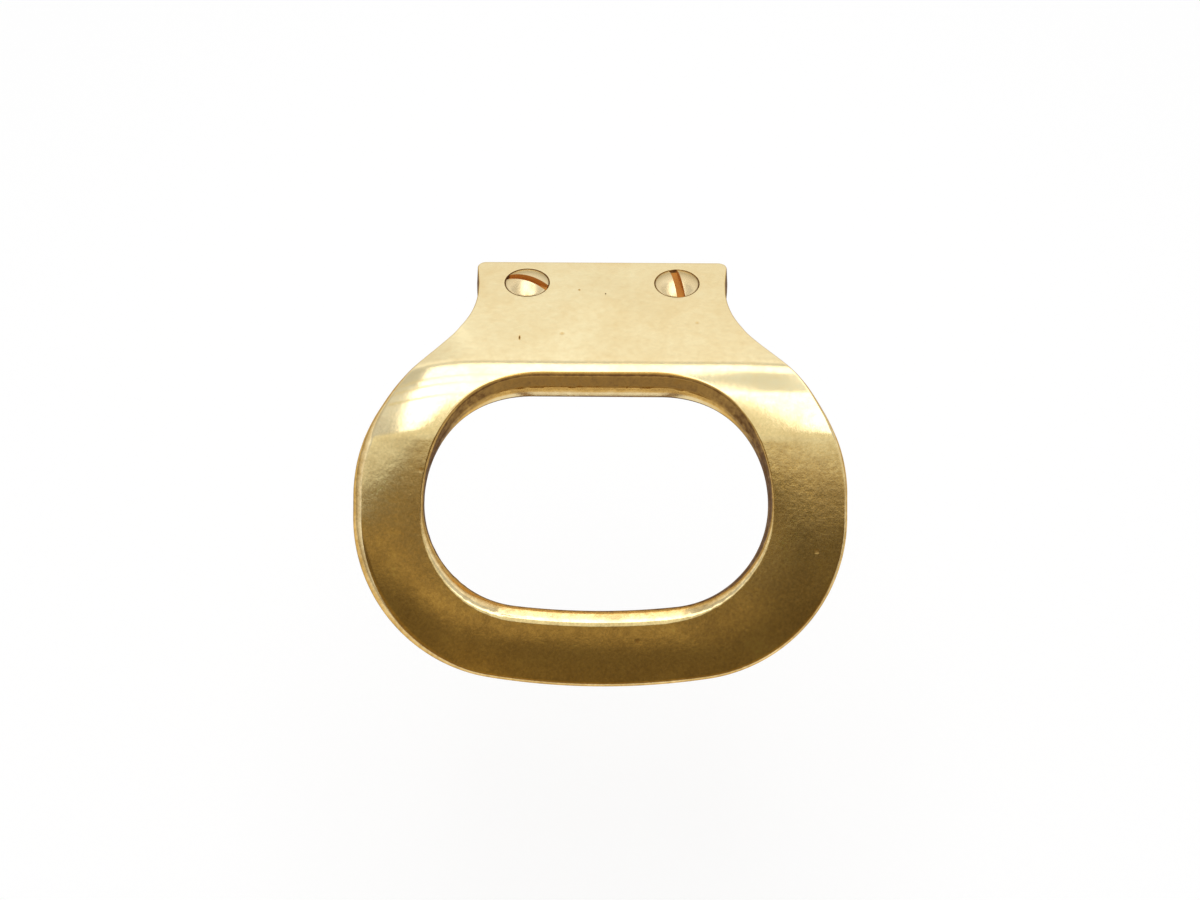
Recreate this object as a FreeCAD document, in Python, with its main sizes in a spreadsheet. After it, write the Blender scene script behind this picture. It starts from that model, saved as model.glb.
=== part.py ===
import FreeCAD, Part
import Sketcher
import math
import os

# A ring pull cast in brass: a screw flange that lies flat on its seat, a bend, and an oval finger ring that
# slopes down in front. X runs along the width, +Y towards the flange's back edge and +Z up, out of the
# flange. The origin is on the seat, midway between the two fixing screws. Lengths are in millimetres, angles
# in degrees.

SIZES = {
    "plate_thickness": 3.6,
    "bend_radius": 14.0,
    "bend_angle": 47.0,
    "flange_width": 40.6,
    "flange_depth": 24.4,
    "flange_corner_radius": 1.5,
    "screw_to_back_edge": 5.4,
    "screw_spacing": 24.0,
    "flare_radius": 16.0,
    "shoulder_radius": 20.0,
    "shoulder_slope": 36.0,
    "ring_width": 76.0,
    "ring_drop": 9.8,
    "ring_band": 11.5,
    "ring_side_land": 0.4,
    "ring_bow": 1.0,
    "hole_drop": 16.4,
    "hole_bow": 0.6,
    "bridge_angle": 18.0,
    "hole_edge_radius": 1.5,
    "front_edge_chamfer": 0.6,
    "hole_back_chamfer": 0.4,
    "cutting_room": 6.0,
    "screw_shank_diameter": 3.5,
    "screw_head_diameter": 7.0,
    "screw_head_land": 0.25,
    "screw_dome_height": 1.0,
    "screw_length": 19.0,
    "screw_plain_length": 6.4,
    "screw_thread_diameter": 2.9,
    "screw_point_length": 5.0,
    "screw_point_diameter": 0.6,
    "slot_width": 1.3,
    "slot_depth": 1.4,
    "left_slot_angle": -22.0,
    "right_slot_angle": -79.0,
    "screw_hole_clearance": 0.25,
    "countersink_margin": 0.3,
    "head_seat_gap": 0.02,
}

doc = FreeCAD.newDocument("ring_pull")
sheet = doc.addObject("Spreadsheet::Sheet", "sizes")
for row, (alias, size) in enumerate(SIZES.items(), start=1):
    sheet.set("A%d" % row, alias)
    sheet.set("B%d" % row, str(size))
    sheet.setAlias("B%d" % row, alias)
doc.recompute()


def number(formula):
    """The present value of a formula of the sheet's cells."""
    return float(sheet.evalExpression(formula))


def point(across, along):
    return FreeCAD.Vector(across, along, 0)


def line(start, end):
    return Part.LineSegment(start, end)


def arc(centre, radius, first_angle, last_angle):
    """An arc that runs anticlockwise between two angles in radians."""
    return Part.ArcOfCircle(Part.Circle(centre, FreeCAD.Vector(0, 0, 1), radius), first_angle, last_angle)


def plane(body, role):
    return next(feature for feature in body.Origin.OriginFeatures if feature.Role == role)


def new_sketch(body, name, role):
    sketch = body.newObject("Sketcher::SketchObject", name)
    sketch.AttachmentSupport = [(plane(body, role), "")]
    sketch.MapMode = "FlatFace"
    return sketch


def dimension(sketch, name, kind, references, formula):
    """Add a named dimension that follows a formula of the sheet's cells."""
    index = sketch.addConstraint(Sketcher.Constraint(kind, *references, number(formula)))
    sketch.renameConstraint(index, name)
    sketch.setExpression("Constraints." + name, formula)


START, END, CENTRE = range(1, 4)
ORIGIN = (-1, 1)
LEVEL_AXIS, UPRIGHT_AXIS = range(-1, -3, -1)


def draw_loop(sketch, segments):
    """Draw a closed outline and join each segment to the next.

    A segment is its curve, the end it is entered by, the end it is left by, and how it joins the next one."""
    sketch.addGeometry([segment[0] for segment in segments], False)
    for index, segment in enumerate(segments):
        left, joint = segment[2:]
        follower = (index + 1) % len(segments)
        entered = segments[follower][1]
        sketch.addConstraint(Sketcher.Constraint(joint, index, left, follower, entered))


# Formulas that several sketches share. Heights in the tilted sketches are taken from the axis of the bend.
FRONT_RADIUS = "(sizes.bend_radius + sizes.plate_thickness)"
BEND_START = "(sizes.screw_to_back_edge - sizes.flange_depth)"
HALF_ANGLE = "(sizes.bend_angle / 2)"
HALF_RING = "(sizes.ring_width / 2)"
HALF_HOLE = "(sizes.ring_width / 2 - sizes.ring_band)"
WALL_LEAN = "(sizes.plate_thickness * tan(sizes.bend_angle / 2))"
SIDE_FLAT = "(%s + sizes.ring_side_land)" % WALL_LEAN


def tilt_about_bend(sketch, angle, height="0"):
    """Turn a sketch about the axis of the bend and lift it along its own normal."""
    sketch.AttachmentOffset = FreeCAD.Placement(
        FreeCAD.Vector(0, 0, 0), FreeCAD.Rotation(FreeCAD.Vector(1, 0, 0), number(angle)))
    sketch.setExpression("AttachmentOffset.Rotation.Angle", angle)
    sketch.setExpression("AttachmentOffset.Base.y", "%s - %s * sin(%s)" % (BEND_START, height, angle))
    sketch.setExpression("AttachmentOffset.Base.z", "%s * cos(%s) - sizes.bend_radius" % (height, angle))


casting = doc.addObject("PartDesign::Body", "pull_casting")
casting.Label = "pull_casting"

# The bent strip, seen from its end: flange, bend and ring in one thickness.
strip_width = "sizes.ring_width + 2 * sizes.cutting_room"
ring_reach = "(sizes.ring_drop + sizes.hole_drop + sizes.ring_band + sizes.cutting_room)"
thickness = number("sizes.plate_thickness")
inside_radius = number("sizes.bend_radius")
bend = math.radians(number("sizes.bend_angle"))
axis = point(number(BEND_START), -inside_radius)
normal = point(-math.sin(bend), math.cos(bend))
slope = point(-math.cos(bend), -math.sin(bend)) * number(ring_reach)
back_low = point(number("sizes.screw_to_back_edge"), 0)
back_high = back_low + point(0, thickness)
flange_front_end = axis + point(0, inside_radius + thickness)
flange_back_end = axis + point(0, inside_radius)
ring_front_start = axis + normal * (inside_radius + thickness)
ring_back_start = axis + normal * inside_radius

side_view = new_sketch(casting, "side_view", "YZ_Plane")
draw_loop(side_view, [
    (line(back_low, back_high), START, END, "Coincident"),
    (line(back_high, flange_front_end), START, END, "Tangent"),
    (arc(axis, inside_radius + thickness, math.pi / 2, math.pi / 2 + bend), START, END, "Tangent"),
    (line(ring_front_start, ring_front_start + slope), START, END, "Coincident"),
    (line(ring_front_start + slope, ring_back_start + slope), START, END, "Coincident"),
    (line(ring_back_start + slope, ring_back_start), START, END, "Tangent"),
    (arc(axis, inside_radius, math.pi / 2, math.pi / 2 + bend), END, START, "Tangent"),
    (line(flange_back_end, back_low), START, END, "Coincident"),
])
side_view.addConstraint([
    Sketcher.Constraint("Vertical", 0),
    Sketcher.Constraint("Horizontal", 1),
    Sketcher.Constraint("Horizontal", 7),
    Sketcher.Constraint("Coincident", 2, CENTRE, 6, CENTRE),
    Sketcher.Constraint("Parallel", 3, 5),
    Sketcher.Constraint("Perpendicular", 3, 4),
    Sketcher.Constraint("PointOnObject", 0, START, LEVEL_AXIS),
])
dimension(side_view, "thickness", "DistanceY", (0, START, 0, END), "sizes.plate_thickness")
dimension(side_view, "back_edge", "DistanceX", (*ORIGIN, 0, START), "sizes.screw_to_back_edge")
dimension(side_view, "flange", "DistanceX", (7, START, 7, END), "sizes.flange_depth")
dimension(side_view, "inside_bend", "Radius", (6,), "sizes.bend_radius")
dimension(side_view, "bend", "Angle", (7, 5), "sizes.bend_angle * 1 deg")
dimension(side_view, "ring_slope", "Distance", (3,), ring_reach)

strip = casting.newObject("PartDesign::Pad", "strip")
strip.Profile = side_view
strip.SideType = "Symmetric"
strip.setExpression("Length", strip_width)
doc.recompute()

# The shoulders: each side of the flange runs in a hollow curve, a straight and a round curve out to the
# ring's side. The cut is made square to the middle of the bend, on the right, and mirrored to the left.
SHOULDER_FOOT = "((%s - sizes.ring_drop) * cos(%s) - %s * sin(%s))" % (
    SIDE_FLAT, HALF_ANGLE, FRONT_RADIUS, HALF_ANGLE)
SHOULDER_CLOSE = "((-sizes.ring_drop - sizes.ring_side_land / 2) * cos(%s) - %s * sin(%s))" % (
    HALF_ANGLE, FRONT_RADIUS, HALF_ANGLE)
half_ring = number(HALF_RING)
half_flange = number("sizes.flange_width / 2")
flare = number("sizes.flare_radius")
shoulder = number("sizes.shoulder_radius")
lean = math.radians(number("sizes.shoulder_slope"))
foot = number(SHOULDER_FOOT)
close = number(SHOULDER_CLOSE)
room = number("sizes.cutting_room")
straight = (half_ring - half_flange - (flare + shoulder) * (1 - math.cos(lean))) / math.sin(lean)
shoulder_centre = point(half_ring - shoulder, foot)
straight_low = shoulder_centre + point(math.cos(lean), math.sin(lean)) * shoulder
straight_high = straight_low + point(-math.sin(lean), math.cos(lean)) * straight
flare_centre = straight_high + point(math.cos(lean), math.sin(lean)) * flare
flare_start = point(half_flange, flare_centre.y)
flare_top = flare_start + point(0, number("sizes.flange_depth"))
beside = half_ring + 2 * room

shoulder_view = new_sketch(casting, "shoulder_view", "XY_Plane")
tilt_about_bend(shoulder_view, HALF_ANGLE)
draw_loop(shoulder_view, [
    (line(flare_top, flare_start), START, END, "Tangent"),
    (arc(flare_centre, flare, math.pi, math.pi + lean), START, END, "Tangent"),
    (line(straight_high, straight_low), START, END, "Tangent"),
    (arc(shoulder_centre, shoulder, 0, lean), END, START, "Tangent"),
    (line(point(half_ring, foot), point(half_ring, close)), START, END, "Coincident"),
    (line(point(half_ring, close), point(beside, close)), START, END, "Coincident"),
    (line(point(beside, close), point(beside, flare_top.y)), START, END, "Coincident"),
    (line(point(beside, flare_top.y), flare_top), START, END, "Coincident"),
])
shoulder_view.addConstraint([
    Sketcher.Constraint("Vertical", 0),
    Sketcher.Constraint("Vertical", 4),
    Sketcher.Constraint("Horizontal", 5),
    Sketcher.Constraint("Vertical", 6),
    Sketcher.Constraint("Horizontal", 7),
])
dimension(shoulder_view, "half_flange", "DistanceX", (*ORIGIN, 0, END), "sizes.flange_width / 2")
dimension(shoulder_view, "half_ring", "DistanceX", (*ORIGIN, 4, START), HALF_RING)
dimension(shoulder_view, "flare", "Radius", (1,), "sizes.flare_radius")
dimension(shoulder_view, "shoulder", "Radius", (3,), "sizes.shoulder_radius")
dimension(shoulder_view, "slope", "Angle", (4, 2), "sizes.shoulder_slope * 1 deg")
dimension(shoulder_view, "foot", "DistanceY", (4, START, *ORIGIN), "-%s" % SHOULDER_FOOT)
dimension(shoulder_view, "close", "DistanceY", (4, END, *ORIGIN), "-%s" % SHOULDER_CLOSE)
dimension(shoulder_view, "above", "DistanceY", (0, END, 0, START), "sizes.flange_depth")
dimension(shoulder_view, "beside", "DistanceX", (5, START, 5, END), "2 * sizes.cutting_room")

shoulder_cut = casting.newObject("PartDesign::Pocket", "shoulder_cut")
shoulder_cut.Profile = shoulder_view
shoulder_cut.Type = "ThroughAll"
shoulder_cut.SideType = "Symmetric"
doc.recompute()
both_shoulders = casting.newObject("PartDesign::Mirrored", "both_shoulders")
both_shoulders.Originals = [shoulder_cut]
both_shoulders.MirrorPlane = (plane(casting, "YZ_Plane"), [""])
casting.Tip = both_shoulders
doc.recompute()

# The lower rim of the ring: a round corner on each side and a slightly bowed bottom, cut square to the ring.
RIM_FOOT = "(sizes.ring_drop + %s)" % SIDE_FLAT
RIM_CLOSE = "(sizes.ring_drop - sizes.ring_side_land / 2)"
RIM_DEPTH = "(sizes.hole_drop + sizes.ring_band - %s)" % SIDE_FLAT
RIM_CORNER = "(%s - sizes.ring_bow)" % RIM_DEPTH
RIM_BOTTOM = "((%s - %s)^2 / (2 * sizes.ring_bow) + %s)" % (HALF_RING, RIM_DEPTH, HALF_RING)
foot = -number(RIM_FOOT)
close = -number(RIM_CLOSE)
corner = number(RIM_CORNER)
bottom = number(RIM_BOTTOM)
rim_depth = number(RIM_DEPTH)
turn = math.atan2(bottom - rim_depth, half_ring - corner)
below = foot - rim_depth - 2 * room

rim_view = new_sketch(casting, "rim_view", "XY_Plane")
tilt_about_bend(rim_view, "sizes.bend_angle")
draw_loop(rim_view, [
    (line(point(half_ring, close), point(half_ring, foot)), START, END, "Tangent"),
    (arc(point(half_ring - corner, foot), corner, -turn, 0), END, START, "Tangent"),
    (arc(point(0, foot - rim_depth + bottom), bottom, turn - math.pi, -turn), END, START, "Tangent"),
    (arc(point(corner - half_ring, foot), corner, math.pi, math.pi + turn), END, START, "Tangent"),
    (line(point(-half_ring, foot), point(-half_ring, close)), START, END, "Coincident"),
    (line(point(-half_ring, close), point(-beside, close)), START, END, "Coincident"),
    (line(point(-beside, close), point(-beside, below)), START, END, "Coincident"),
    (line(point(-beside, below), point(beside, below)), START, END, "Coincident"),
    (line(point(beside, below), point(beside, close)), START, END, "Coincident"),
    (line(point(beside, close), point(half_ring, close)), START, END, "Coincident"),
])
rim_view.addConstraint([
    Sketcher.Constraint("Vertical", 0),
    Sketcher.Constraint("Vertical", 4),
    Sketcher.Constraint("Horizontal", 5),
    Sketcher.Constraint("Vertical", 6),
    Sketcher.Constraint("Horizontal", 7),
    Sketcher.Constraint("Vertical", 8),
    Sketcher.Constraint("Horizontal", 9),
    Sketcher.Constraint("PointOnObject", 2, CENTRE, UPRIGHT_AXIS),
    Sketcher.Constraint("Equal", 1, 3),
    Sketcher.Constraint("Equal", 5, 9),
    Sketcher.Constraint("Horizontal", 0, START, 4, END),
])
dimension(rim_view, "half_ring", "DistanceX", (*ORIGIN, 0, START), HALF_RING)
dimension(rim_view, "other_half", "DistanceX", (4, END, *ORIGIN), HALF_RING)
dimension(rim_view, "corner", "Radius", (1,), RIM_CORNER)
dimension(rim_view, "bottom", "Radius", (2,), RIM_BOTTOM)
dimension(rim_view, "foot", "DistanceY", (0, END, *ORIGIN), RIM_FOOT)
dimension(rim_view, "close", "DistanceY", (0, START, *ORIGIN), RIM_CLOSE)
dimension(rim_view, "beside", "DistanceX", (9, END, 9, START), "2 * sizes.cutting_room")
dimension(rim_view, "below", "DistanceY", (7, START, *ORIGIN),
          "%s + %s + 2 * sizes.cutting_room" % (RIM_FOOT, RIM_DEPTH))
rim_cut = casting.newObject("PartDesign::Pocket", "rim_cut")
rim_cut.Profile = rim_view
rim_cut.Type = "ThroughAll"
rim_cut.SideType = "Symmetric"
doc.recompute()

# The flange's corners are rounded, and the outline's front edges are broken with a file. The back is ground
# flat to a crisp edge.
TOUCHING = 0.001


def depth_in_plate(place):
    """How far a point lies in front of the plate's back face."""
    from_axis = point(place.y, place.z) - axis
    if from_axis.x >= 0:
        return place.z
    if from_axis.dot(slope) >= 0:
        return from_axis.dot(normal) - inside_radius
    return from_axis.Length - inside_radius


def sample(edge):
    first, last = edge.ParameterRange
    return [edge.valueAt(first + (last - first) * step / 4) for step in range(5)]


def rim_edges(feature, depth, older=None):
    """Names of the edges at a depth where a wall meets a face, without those that an older feature had."""
    names = []
    for index, edge in enumerate(feature.Shape.Edges, start=1):
        if any(abs(depth_in_plate(place) - depth) > TOUCHING for place in sample(edge)):
            continue
        faces = feature.Shape.ancestorsOfType(edge, Part.Face)
        levels = [depth_in_plate(vertex.Point) for face in faces for vertex in face.Vertexes]
        if max(levels) - min(levels) < thickness / 2:
            continue
        if older and Part.Vertex(sample(edge)[2]).distToShape(Part.Compound(older.Shape.Edges))[0] < TOUCHING:
            continue
        names.append("Edge%d" % index)
    return names


def break_edges(name, feature, edges, width):
    chamfer = casting.newObject("PartDesign::Chamfer", name)
    chamfer.Base = (feature, edges)
    chamfer.setExpression("Size", width)
    doc.recompute()
    return chamfer


def round_edges(name, feature, edges, radius):
    fillet = casting.newObject("PartDesign::Fillet", name)
    fillet.Base = (feature, edges)
    fillet.setExpression("Radius", radius)
    doc.recompute()
    return fillet


back_edge = number("sizes.screw_to_back_edge")
corner_edges = [
    "Edge%d" % index for index, edge in enumerate(rim_cut.Shape.Edges, start=1)
    if edge.BoundBox.YMin > back_edge - TOUCHING and edge.BoundBox.XLength < TOUCHING]
corners = round_edges("corners", rim_cut, corner_edges, "sizes.flange_corner_radius")
front_rim = break_edges("front_rim", corners, rim_edges(corners, thickness), "sizes.front_edge_chamfer")

# The finger hole: round ends, a straight upper side and a slightly bowed lower one. Its lower wall is square
# to the ring, and its upper wall lies in the bend, square to the bent plate, so the hole narrows towards the
# back.
HOLE_CORNER = "(sizes.hole_drop - sizes.hole_bow)"
HOLE_BOTTOM = "((%s - sizes.hole_drop)^2 / (2 * sizes.hole_bow) + %s)" % (HALF_HOLE, HALF_HOLE)


def hole_section(name, height):
    """The hole's outline at a height above the axis of the bend, in a plane that is parallel to the ring."""
    rise_formula = "(%s * tan(sizes.bend_angle - sizes.bridge_angle) + sizes.ring_drop)" % height
    half = number(HALF_HOLE)
    middle = -number("sizes.ring_drop")
    rise = number(rise_formula)
    drop = number("sizes.hole_drop")
    lower = number(HOLE_CORNER)
    base = number(HOLE_BOTTOM)
    upper_right = point(half - rise, middle)
    upper_left = point(rise - half, middle)
    lower_turn = math.atan2(base - drop, half - lower)

    section = new_sketch(casting, name, "XY_Plane")
    tilt_about_bend(section, "sizes.bend_angle", height)
    draw_loop(section, [
        (arc(upper_right, rise, 0, math.pi / 2), START, END, "Tangent"),
        (line(upper_right + point(0, rise), upper_left + point(0, rise)), START, END, "Tangent"),
        (arc(upper_left, rise, math.pi / 2, math.pi), START, END, "Tangent"),
        (arc(point(lower - half, middle), lower, math.pi, math.pi + lower_turn), START, END, "Tangent"),
        (arc(point(0, middle - drop + base), base, math.pi + lower_turn, 2 * math.pi - lower_turn),
         START, END, "Tangent"),
        (arc(point(half - lower, middle), lower, -lower_turn, 0), START, END, "Tangent"),
    ])
    section.addConstraint([
        Sketcher.Constraint("Horizontal", 1),
        Sketcher.Constraint("Horizontal", 0, CENTRE, 0, START),
        Sketcher.Constraint("Horizontal", 2, CENTRE, 2, END),
        Sketcher.Constraint("Equal", 0, 2),
        Sketcher.Constraint("Equal", 3, 5),
    ])
    dimension(section, "middle", "DistanceY", (0, START, *ORIGIN), "sizes.ring_drop")
    dimension(section, "half", "DistanceX", (*ORIGIN, 0, START), HALF_HOLE)
    dimension(section, "other_half", "DistanceX", (2, END, *ORIGIN), HALF_HOLE)
    dimension(section, "upper", "Radius", (0,), rise_formula)
    dimension(section, "lower", "Radius", (5,), HOLE_CORNER)
    dimension(section, "base", "Radius", (4,), HOLE_BOTTOM)
    return section


hole_front = hole_section("hole_front", "(%s + sizes.cutting_room / 2)" % FRONT_RADIUS)
hole_back = hole_section("hole_back", "(sizes.bend_radius * cos(sizes.bend_angle))")
finger_hole = casting.newObject("PartDesign::SubtractiveLoft", "finger_hole")
finger_hole.Profile = hole_front
finger_hole.Sections = [hole_back]
finger_hole.Ruled = True
doc.recompute()
hole_front_edge = round_edges(
    "hole_front_edge", finger_hole, rim_edges(finger_hole, thickness, front_rim), "sizes.hole_edge_radius")
hole_back_edge = break_edges(
    "hole_back_edge", hole_front_edge, rim_edges(hole_front_edge, 0, front_rim), "sizes.hole_back_chamfer")

# Two countersunk holes near the flange's back edge, a little wider than the screw heads.
COUNTERSINK_ANGLE = 90.0
hole_places = new_sketch(casting, "hole_places", "XY_Plane")
hole_places.setExpression("AttachmentOffset.Base.z", "sizes.plate_thickness")
half_spacing = number("sizes.screw_spacing / 2")
hole_radius = number("sizes.screw_shank_diameter / 2")
for index, side in enumerate((-1, 1)):
    centre = point(side * half_spacing, 0)
    hole_places.addGeometry(Part.Circle(centre, FreeCAD.Vector(0, 0, 1), hole_radius), False)
    hole_places.addConstraint(Sketcher.Constraint("PointOnObject", index, CENTRE, LEVEL_AXIS))
hole_places.addConstraint(Sketcher.Constraint("Equal", 0, 1))
dimension(hole_places, "shank", "Diameter", (0,), "sizes.screw_shank_diameter")
dimension(hole_places, "left", "DistanceX", (0, CENTRE, *ORIGIN), "sizes.screw_spacing / 2")
dimension(hole_places, "right", "DistanceX", (*ORIGIN, 1, CENTRE), "sizes.screw_spacing / 2")
doc.recompute()
screw_holes = casting.newObject("PartDesign::Hole", "screw_holes")
screw_holes.Profile = hole_places
screw_holes.ThreadType = "None"
screw_holes.DepthType = "ThroughAll"
screw_holes.DrillPoint = "Flat"
screw_holes.HoleCutType = "Countersink"
screw_holes.HoleCutCustomValues = True
screw_holes.HoleCutCountersinkAngle = COUNTERSINK_ANGLE
screw_holes.setExpression("Diameter", "sizes.screw_shank_diameter + 2 * sizes.screw_hole_clearance")
screw_holes.setExpression("HoleCutDiameter", "sizes.screw_head_diameter + 2 * sizes.countersink_margin")
doc.recompute()

# The fixing screws: slotted wood screws with a raised countersunk head, a plain shank, a threaded length,
# drawn as a rod of the thread's middle diameter, and a gimlet point.
HEAD_RADIUS = "(sizes.screw_head_diameter / 2)"
SHANK_RADIUS = "(sizes.screw_shank_diameter / 2)"
THREAD_RADIUS = "(sizes.screw_thread_diameter / 2)"
HEAD_HEIGHT = "(sizes.screw_head_land + %s - %s)" % (HEAD_RADIUS, SHANK_RADIUS)
DOME_RADIUS = "((%s^2 + sizes.screw_dome_height^2) / (2 * sizes.screw_dome_height))" % HEAD_RADIUS


def fixing_screw(name, across, slot_angle):
    """One screw, with its axis upright through the rim of its head, set in its countersink and turned."""
    screw = doc.addObject("PartDesign::Body", name)
    head = number(HEAD_RADIUS)
    shank = number(SHANK_RADIUS)
    thread = number(THREAD_RADIUS)
    tip = number("sizes.screw_point_diameter / 2")
    land = number("sizes.screw_head_land")
    under_head = -number(HEAD_HEIGHT)
    plain_end = -number("sizes.screw_plain_length")
    point_start = number("sizes.screw_point_length - sizes.screw_length")
    end = -number("sizes.screw_length")
    apex = number("sizes.screw_dome_height")
    dome = number(DOME_RADIUS)
    rim_angle = math.atan2(dome - apex, head)

    half_view = new_sketch(screw, name + "_half_view", "XZ_Plane")
    draw_loop(half_view, [
        (arc(point(0, apex - dome), dome, rim_angle, math.pi / 2), END, START, "Coincident"),
        (line(point(head, 0), point(head, -land)), START, END, "Coincident"),
        (line(point(head, -land), point(shank, under_head)), START, END, "Coincident"),
        (line(point(shank, under_head), point(shank, plain_end)), START, END, "Coincident"),
        (line(point(shank, plain_end), point(thread, plain_end)), START, END, "Coincident"),
        (line(point(thread, plain_end), point(thread, point_start)), START, END, "Coincident"),
        (line(point(thread, point_start), point(tip, end)), START, END, "Coincident"),
        (line(point(tip, end), point(0, end)), START, END, "Coincident"),
        (line(point(0, end), point(0, apex)), START, END, "Coincident"),
    ])
    half_view.addConstraint([
        Sketcher.Constraint("PointOnObject", 0, CENTRE, UPRIGHT_AXIS),
        Sketcher.Constraint("PointOnObject", 0, END, UPRIGHT_AXIS),
        Sketcher.Constraint("PointOnObject", 8, START, UPRIGHT_AXIS),
        Sketcher.Constraint("PointOnObject", 1, START, LEVEL_AXIS),
        Sketcher.Constraint("Vertical", 1),
        Sketcher.Constraint("Vertical", 3),
        Sketcher.Constraint("Horizontal", 4),
        Sketcher.Constraint("Vertical", 5),
        Sketcher.Constraint("Horizontal", 7),
    ])
    dimension(half_view, "head", "DistanceX", (*ORIGIN, 1, START), HEAD_RADIUS)
    dimension(half_view, "dome", "DistanceY", (*ORIGIN, 0, END), "sizes.screw_dome_height")
    dimension(half_view, "land", "DistanceY", (1, END, *ORIGIN), "sizes.screw_head_land")
    dimension(half_view, "shank", "DistanceX", (*ORIGIN, 3, START), SHANK_RADIUS)
    dimension(half_view, "under_head", "DistanceY", (3, START, *ORIGIN), HEAD_HEIGHT)
    dimension(half_view, "plain", "DistanceY", (3, END, *ORIGIN), "sizes.screw_plain_length")
    dimension(half_view, "thread", "DistanceX", (*ORIGIN, 5, START), THREAD_RADIUS)
    dimension(half_view, "length", "DistanceY", (8, START, *ORIGIN), "sizes.screw_length")
    dimension(half_view, "taper", "DistanceY", (6, END, 6, START), "sizes.screw_point_length")
    dimension(half_view, "tip", "DistanceX", (7, END, 7, START), "sizes.screw_point_diameter / 2")
    turned = screw.newObject("PartDesign::Revolution", name + "_turned")
    turned.Profile = half_view
    turned.ReferenceAxis = (half_view, ["V_Axis"])
    doc.recompute()

    width = number("sizes.slot_width")
    slot_view = new_sketch(screw, name + "_slot_view", "XY_Plane")
    slot_view.setExpression("AttachmentOffset.Base.z", "sizes.screw_dome_height")
    draw_loop(slot_view, [
        (line(point(-2 * head, -width / 2), point(2 * head, -width / 2)), START, END, "Coincident"),
        (line(point(2 * head, -width / 2), point(2 * head, width / 2)), START, END, "Coincident"),
        (line(point(2 * head, width / 2), point(-2 * head, width / 2)), START, END, "Coincident"),
        (line(point(-2 * head, width / 2), point(-2 * head, -width / 2)), START, END, "Coincident"),
    ])
    slot_view.addConstraint([
        Sketcher.Constraint("Horizontal", 0),
        Sketcher.Constraint("Vertical", 1),
        Sketcher.Constraint("Horizontal", 2),
        Sketcher.Constraint("Vertical", 3),
        Sketcher.Constraint("Symmetric", 0, START, 2, START, *ORIGIN),
    ])
    dimension(slot_view, "width", "DistanceY", (1, START, 1, END), "sizes.slot_width")
    dimension(slot_view, "reach", "DistanceX", (0, START, 0, END), "2 * sizes.screw_head_diameter")
    slot = screw.newObject("PartDesign::Pocket", name + "_slot")
    slot.Profile = slot_view
    slot.setExpression("Length", "sizes.slot_depth")
    screw.Placement.Rotation = FreeCAD.Rotation(FreeCAD.Vector(0, 0, 1), number(slot_angle))
    screw.setExpression("Placement.Rotation.Angle", slot_angle)
    screw.setExpression("Placement.Base.x", across)
    screw.setExpression("Placement.Base.z", HEAD_LEVEL)
    doc.recompute()
    return screw


HEAD_LEVEL = ("sizes.plate_thickness + sizes.screw_head_land - sizes.countersink_margin"
              " + sizes.head_seat_gap * sqrt(2)")
screws = doc.addObject("Part::Compound", "fixing_screws")
screws.Label = "fixing_screws"
screws.Links = [
    fixing_screw("left_screw", "-sizes.screw_spacing / 2", "sizes.left_slot_angle"),
    fixing_screw("right_screw", "sizes.screw_spacing / 2", "sizes.right_slot_angle"),
]
doc.recompute()

for item in doc.Objects:
    if "Invalid" in item.State or "Error" in item.State:
        raise RuntimeError("%s could not be built" % item.Label)
    if item.TypeId in ("PartDesign::Pocket", "PartDesign::SubtractiveLoft", "PartDesign::Hole"):
        if item.Shape.Volume >= item.BaseFeature.Shape.Volume:
            raise RuntimeError("%s cuts nothing" % item.Label)
os.makedirs("parts", exist_ok=True)
for item in (casting, screws):
    if item.Shape.isNull() or not item.Shape.isValid():
        raise RuntimeError("%s is not a sound solid" % item.Label)
    item.Shape.exportStep("parts/%s.step" % item.Label)
    print(item.Label, len(item.Shape.Solids), item.Shape.Volume, item.Shape.BoundBox)
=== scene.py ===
import math

import bmesh
import bpy
import numpy as np
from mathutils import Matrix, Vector, noise


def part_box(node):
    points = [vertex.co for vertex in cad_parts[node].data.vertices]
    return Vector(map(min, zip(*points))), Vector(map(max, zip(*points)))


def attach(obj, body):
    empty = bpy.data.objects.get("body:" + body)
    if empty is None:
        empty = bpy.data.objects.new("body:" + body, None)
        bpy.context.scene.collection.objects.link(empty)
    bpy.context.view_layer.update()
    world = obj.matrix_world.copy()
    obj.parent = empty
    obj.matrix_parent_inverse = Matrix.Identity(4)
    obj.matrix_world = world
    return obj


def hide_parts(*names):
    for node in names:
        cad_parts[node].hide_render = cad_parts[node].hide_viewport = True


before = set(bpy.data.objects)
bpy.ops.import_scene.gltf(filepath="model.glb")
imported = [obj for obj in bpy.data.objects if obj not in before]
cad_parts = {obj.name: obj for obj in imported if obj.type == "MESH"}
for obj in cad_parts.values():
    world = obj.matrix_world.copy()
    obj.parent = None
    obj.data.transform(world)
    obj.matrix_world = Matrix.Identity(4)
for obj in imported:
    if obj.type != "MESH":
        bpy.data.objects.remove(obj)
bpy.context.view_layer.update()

# The pull is one brass casting: a flange that lies flat on its seat, a bend, and an oval ring for fingers.
# It was cast in sand, filed along its edges and polished by hand, so its faces wander a little and the wall
# of the finger hole still shows the joint of the mould.
casting_low, casting_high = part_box("pull_casting")
thickness = casting_high.z
half_ring = casting_high.x
bend_radius = 0.0140
bend_angle = math.radians(47)
flange_depth = 0.0244
half_flange = 0.0203
flange_corner = 0.0015
flare_radius = 0.0160
shoulder_radius = 0.0200
shoulder_slope = math.radians(36)
ring_drop = 0.0098
ring_band = 0.0115
ring_side_land = 0.0004
ring_bow = 0.0010
hole_drop = 0.0164
hole_bow = 0.0006
bridge_angle = math.radians(18)
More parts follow.
